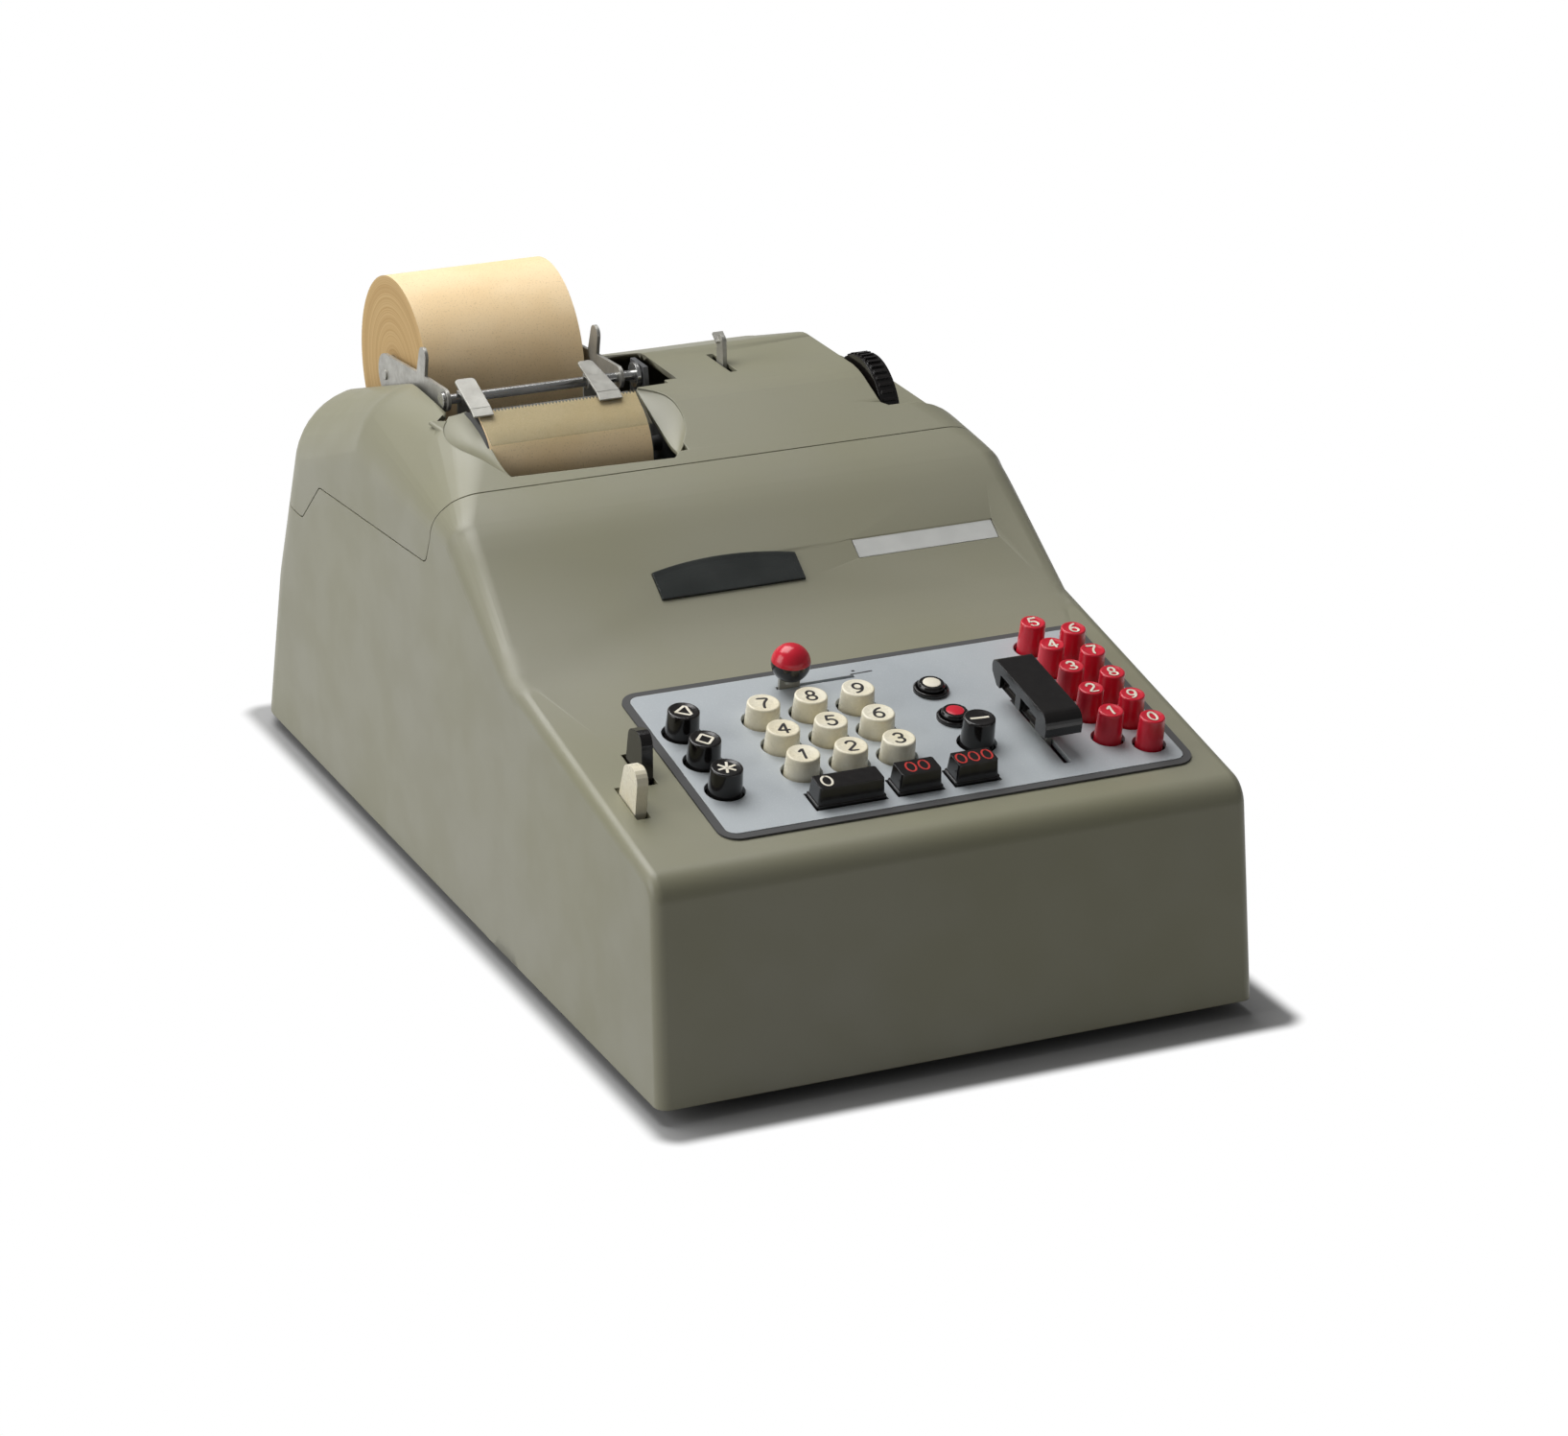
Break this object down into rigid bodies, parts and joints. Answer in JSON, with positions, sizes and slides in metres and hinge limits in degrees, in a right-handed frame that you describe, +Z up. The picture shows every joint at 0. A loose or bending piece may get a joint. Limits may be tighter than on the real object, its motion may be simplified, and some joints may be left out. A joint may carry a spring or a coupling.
{
  "type": "adding machine",
  "caption": "Desk adding machine with a ten-key keyboard, a block of multiplier keys, a motor bar, levers, a platen with knob and a paper roll on swinging arms.",
  "frame": {"origin": "middle of the footprint, on the table under the feet", "axes": "+Z up, -Y towards the operator, +X to the operator's right"},
  "size_m": [0.24, 0.446, 0.2115],
  "materials": {
    "olive_paint": "smooth satin olive grey enamel",
    "black_rubber": "matt",
    "satin_plate": "fine satin with a bright edge",
    "gasket_rubber": "semi-matt",
    "zinc_steel": "dull zinc grey",
    "bright_steel": "polished",
    "ivory_plastic": "soft gloss",
    "black_plastic": "gloss",
    "red_plastic": "gloss",
    "white_inlay": "gloss",
    "clear_lens": "clear",
    "dark_scale": "matt black with fine marks",
    "platen_rubber": "ground rubber",
    "buff_paper": "uncoated buff paper",
    "card": "plain wound card",
    "frame_steel": "plain sheet steel",
    "motor_iron": "black painted casting",
    "base_paint": "dull dark grey"
  },
  "bodies": {
    "machine": {"housing": "olive_paint", "rear_cover": "olive_paint", "base_plate": "base_paint", "rubber_feet": "black_rubber", "keyboard_plate": "satin_plate", "plate_rim": "gasket_rubber", "key_guide": "frame_steel", "window_lens": "clear_lens", "indicator_scale": "dark_scale", "name_plate": "satin_plate", "roll_rod": "bright_steel", "bail_fingers": "zinc_steel", "tear_bar": "zinc_steel", "paper_strip": "buff_paper", "paper_guide": "zinc_steel", "power_inlet": "black_plastic", "motor": "motor_iron", "side_frames": "frame_steel"},
    "key_0": {"key_0": "black_plastic"},
    "key_1": {"key_1": "ivory_plastic"},
    "key_2": {"key_2": "ivory_plastic"},
    "key_3": {"key_3": "ivory_plastic"},
    "key_4": {"key_4": "ivory_plastic"},
    "key_5": {"key_5": "ivory_plastic"},
    "key_6": {"key_6": "ivory_plastic"},
    "key_7": {"key_7": "ivory_plastic"},
    "key_8": {"key_8": "ivory_plastic"},
    "key_9": {"key_9": "ivory_plastic"},
    "key_00": {"key_00": "black_plastic"},
    "key_000": {"key_000": "black_plastic"},
    "key_triangle": {"key_triangle": "black_plastic"},
    "key_square": {"key_square": "black_plastic"},
    "key_star": {"key_star": "black_plastic"},
    "key_minus": {"key_minus": "black_plastic"},
    "button_white": {"button_white": "black_plastic"},
    "button_red": {"button_red": "black_plastic"},
    "mult_0": {"mult_0": "red_plastic"},
    "mult_1": {"mult_1": "red_plastic"},
    "mult_2": {"mult_2": "red_plastic"},
    "mult_3": {"mult_3": "red_plastic"},
    "mult_4": {"mult_4": "red_plastic"},
    "mult_5": {"mult_5": "red_plastic"},
    "mult_6": {"mult_6": "red_plastic"},
    "mult_7": {"mult_7": "red_plastic"},
    "mult_8": {"mult_8": "red_plastic"},
    "mult_9": {"mult_9": "red_plastic"},
    "motor_bar": {"motor_bar": "black_plastic", "motor_bar_arm": "zinc_steel"},
    "selector": {"selector_ball": "red_plastic", "selector_stem": "zinc_steel"},
    "lever_black": {"lever_black": "black_plastic"},
    "lever_ivory": {"lever_ivory": "ivory_plastic"},
    "platen": {"platen": "platen_rubber", "platen_knob": "black_plastic"},
    "roll_arm_left": {"roll_arm_left": "zinc_steel"},
    "roll_arm_right": {"roll_arm_right": "zinc_steel"},
    "roll": {"paper_roll": "buff_paper", "roll_core": "card"},
    "release_lever": {"release_lever": "zinc_steel"},
    "motor_rotor": {"motor_rotor": "frame_steel"}
  },
  "joints": [
    {"name": "key_0_press", "type": "slide", "parent": "machine", "child": "key_0", "axis": [0, 0.1908, -0.9816], "range_m": [0, 0.004], "stiffness_N_per_m": 100, "springref_m": -0.003},
    {"name": "key_1_press", "type": "slide", "parent": "machine", "child": "key_1", "axis": [0, 0.1908, -0.9816], "range_m": [0, 0.004], "stiffness_N_per_m": 100, "springref_m": -0.003},
    {"name": "key_2_press", "type": "slide", "parent": "machine", "child": "key_2", "axis": [0, 0.1908, -0.9816], "range_m": [0, 0.004], "stiffness_N_per_m": 100, "springref_m": -0.003},
    {"name": "key_3_press", "type": "slide", "parent": "machine", "child": "key_3", "axis": [0, 0.1908, -0.9816], "range_m": [0, 0.004], "stiffness_N_per_m": 100, "springref_m": -0.003},
    {"name": "key_4_press", "type": "slide", "parent": "machine", "child": "key_4", "axis": [0, 0.1908, -0.9816], "range_m": [0, 0.004], "stiffness_N_per_m": 100, "springref_m": -0.003},
    {"name": "key_5_press", "type": "slide", "parent": "machine", "child": "key_5", "axis": [0, 0.1908, -0.9816], "range_m": [0, 0.004], "stiffness_N_per_m": 100, "springref_m": -0.003},
    {"name": "key_6_press", "type": "slide", "parent": "machine", "child": "key_6", "axis": [0, 0.1908, -0.9816], "range_m": [0, 0.004], "stiffness_N_per_m": 100, "springref_m": -0.003},
    {"name": "key_7_press", "type": "slide", "parent": "machine", "child": "key_7", "axis": [0, 0.1908, -0.9816], "range_m": [0, 0.004], "stiffness_N_per_m": 100, "springref_m": -0.003},
    {"name": "key_8_press", "type": "slide", "parent": "machine", "child": "key_8", "axis": [0, 0.1908, -0.9816], "range_m": [0, 0.004], "stiffness_N_per_m": 100, "springref_m": -0.003},
    {"name": "key_9_press", "type": "slide", "parent": "machine", "child": "key_9", "axis": [0, 0.1908, -0.9816], "range_m": [0, 0.004], "stiffness_N_per_m": 100, "springref_m": -0.003},
    {"name": "key_00_press", "type": "slide", "parent": "machine", "child": "key_00", "axis": [0, 0.1908, -0.9816], "range_m": [0, 0.004], "stiffness_N_per_m": 100, "springref_m": -0.003},
    {"name": "key_000_press", "type": "slide", "parent": "machine", "child": "key_000", "axis": [0, 0.1908, -0.9816], "range_m": [0, 0.004], "stiffness_N_per_m": 100, "springref_m": -0.003},
    {"name": "key_triangle_press", "type": "slide", "parent": "machine", "child": "key_triangle", "axis": [0, 0.1908, -0.9816], "range_m": [0, 0.004], "stiffness_N_per_m": 100, "springref_m": -0.003},
    {"name": "key_square_press", "type": "slide", "parent": "machine", "child": "key_square", "axis": [0, 0.1908, -0.9816], "range_m": [0, 0.004], "stiffness_N_per_m": 100, "springref_m": -0.003},
    {"name": "key_star_press", "type": "slide", "parent": "machine", "child": "key_star", "axis": [0, 0.1908, -0.9816], "range_m": [0, 0.004], "stiffness_N_per_m": 100, "springref_m": -0.003},
    {"name": "key_minus_press", "type": "slide", "parent": "machine", "child": "key_minus", "axis": [0, 0.1908, -0.9816], "range_m": [0, 0.004], "stiffness_N_per_m": 100, "springref_m": -0.003},
    {"name": "button_white_press", "type": "slide", "parent": "machine", "child": "button_white", "axis": [0, 0.1908, -0.9816], "range_m": [0, 0.0025], "stiffness_N_per_m": 100, "springref_m": -0.003},
    {"name": "button_red_press", "type": "slide", "parent": "machine", "child": "button_red", "axis": [0, 0.1908, -0.9816], "range_m": [0, 0.0025], "stiffness_N_per_m": 100, "springref_m": -0.003},
    {"name": "mult_0_press", "type": "slide", "parent": "machine", "child": "mult_0", "axis": [0, 0.1908, -0.9816], "range_m": [0, 0.004], "stiffness_N_per_m": 100, "springref_m": -0.003},
    {"name": "mult_1_press", "type": "slide", "parent": "machine", "child": "mult_1", "axis": [0, 0.1908, -0.9816], "range_m": [0, 0.004], "stiffness_N_per_m": 100, "springref_m": -0.003},
    {"name": "mult_2_press", "type": "slide", "parent": "machine", "child": "mult_2", "axis": [0, 0.1908, -0.9816], "range_m": [0, 0.004], "stiffness_N_per_m": 100, "springref_m": -0.003},
    {"name": "mult_3_press", "type": "slide", "parent": "machine", "child": "mult_3", "axis": [0, 0.1908, -0.9816], "range_m": [0, 0.004], "stiffness_N_per_m": 100, "springref_m": -0.003},
    {"name": "mult_4_press", "type": "slide", "parent": "machine", "child": "mult_4", "axis": [0, 0.1908, -0.9816], "range_m": [0, 0.004], "stiffness_N_per_m": 100, "springref_m": -0.003},
    {"name": "mult_5_press", "type": "slide", "parent": "machine", "child": "mult_5", "axis": [0, 0.1908, -0.9816], "range_m": [0, 0.004], "stiffness_N_per_m": 100, "springref_m": -0.003},
    {"name": "mult_6_press", "type": "slide", "parent": "machine", "child": "mult_6", "axis": [0, 0.1908, -0.9816], "range_m": [0, 0.004], "stiffness_N_per_m": 100, "springref_m": -0.003},
    {"name": "mult_7_press", "type": "slide", "parent": "machine", "child": "mult_7", "axis": [0, 0.1908, -0.9816], "range_m": [0, 0.004], "stiffness_N_per_m": 100, "springref_m": -0.003},
    {"name": "mult_8_press", "type": "slide", "parent": "machine", "child": "mult_8", "axis": [0, 0.1908, -0.9816], "range_m": [0, 0.004], "stiffness_N_per_m": 100, "springref_m": -0.003},
    {"name": "mult_9_press", "type": "slide", "parent": "machine", "child": "mult_9", "axis": [0, 0.1908, -0.9816], "range_m": [0, 0.004], "stiffness_N_per_m": 100, "springref_m": -0.003},
    {"name": "motor_bar_press", "type": "slide", "parent": "machine", "child": "motor_bar", "axis": [0, 0.1908, -0.9816], "range_m": [0, 0.004], "stiffness_N_per_m": 150, "springref_m": -0.004},
    {"name": "selector_slide", "type": "slide", "parent": "machine", "child": "selector", "axis": [1, 0, 0], "range_m": [0, 0.022]},
    {"name": "lever_black_swing", "type": "hinge", "parent": "machine", "child": "lever_black", "pos_m": [-0.094, -0.13904, 0.07466], "axis": [1, 0, 0], "range_deg": [-5, 5]},
    {"name": "lever_ivory_swing", "type": "hinge", "parent": "machine", "child": "lever_ivory", "pos_m": [-0.1049, -0.15887, 0.0708], "axis": [1, 0, 0], "range_deg": [-5, 5]},
    {"name": "platen_turn", "type": "hinge", "parent": "machine", "child": "platen", "pos_m": [0, 0.045, 0.159], "axis": [1, 0, 0], "continuous": true},
    {"name": "roll_arm_left_lift", "type": "hinge", "parent": "machine", "child": "roll_arm_left", "pos_m": [-0.088, 0.066, 0.181], "axis": [1, 0, 0], "range_deg": [0, 25]},
    {"name": "roll_arm_right_lift", "type": "hinge", "parent": "machine", "child": "roll_arm_right", "pos_m": [-0.015, 0.066, 0.181], "axis": [1, 0, 0], "range_deg": [0, 25]},
    {"name": "roll_turn", "type": "hinge", "parent": "roll_arm_left", "child": "roll", "pos_m": [-0.051, 0.133, 0.172], "axis": [1, 0, 0], "continuous": true},
    {"name": "release_swing", "type": "hinge", "parent": "machine", "child": "release_lever", "pos_m": [0.0317, 0.0695, 0.141], "axis": [1, 0, 0], "range_deg": [-10, 10]},
    {"name": "rotor_spin", "type": "hinge", "parent": "machine", "child": "motor_rotor", "pos_m": [0.02, 0.133, 0.052], "axis": [1, 0, 0], "continuous": true}
  ],
  "couplings": [
    {"joint": "roll_arm_right_lift", "follows": "roll_arm_left_lift", "ratio": 1}
  ]
}
